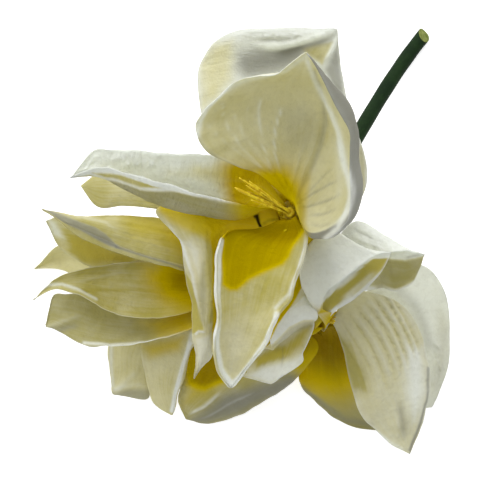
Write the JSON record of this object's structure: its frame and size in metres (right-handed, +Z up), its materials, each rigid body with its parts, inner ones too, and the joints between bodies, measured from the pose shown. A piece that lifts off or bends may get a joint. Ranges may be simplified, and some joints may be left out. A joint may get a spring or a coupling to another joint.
{
  "type": "amaryllis flower",
  "caption": "Cut amaryllis flower head: large cream-white trumpet blooms with golden throats and rolled petal rims on one bent dark green stem, lying on its side.",
  "frame": {"origin": "on the ground, under the middle of the flower's box", "axes": "+Z up from the surface it lies on; +X to the right and +Y to the top of the picture, as one looks down on it; the stem points to +X +Y"},
  "size_m": [0.2268, 0.231, 0.1342],
  "materials": {
    "petal_cream": "soft printed cloth, cream-white with a golden base and fine veins",
    "throat_green": "dull yellow-green moulded cup",
    "stamen_yellow": "dull golden threads",
    "stem_green": "dark green, slightly waxy, with a pale cut end"
  },
  "bodies": {
    "root": {"petal_top_1": "petal_cream", "petal_top_2": "petal_cream", "petal_top_3": "petal_cream", "petal_top_4": "petal_cream", "petal_top_5": "petal_cream", "petal_top_6": "petal_cream", "petal_left_1": "petal_cream", "petal_left_2": "petal_cream", "petal_left_3": "petal_cream", "petal_left_4": "petal_cream", "petal_left_5": "petal_cream", "petal_left_6": "petal_cream", "petal_lower_1": "petal_cream", "petal_lower_2": "petal_cream", "petal_lower_3": "petal_cream", "petal_lower_4": "petal_cream", "petal_lower_5": "petal_cream", "petal_lower_6": "petal_cream", "petal_right_1": "petal_cream", "petal_right_2": "petal_cream", "petal_right_3": "petal_cream", "petal_right_4": "petal_cream", "petal_right_5": "petal_cream", "petal_right_6": "petal_cream", "tube_top": "throat_green", "tube_left": "throat_green", "tube_lower": "throat_green", "tube_right": "throat_green", "stamens_top": "stamen_yellow", "stamens_left": "stamen_yellow", "stamens_lower": "stamen_yellow", "stamens_right": "stamen_yellow", "stem": "stem_green"}
  },
  "joints": []
}
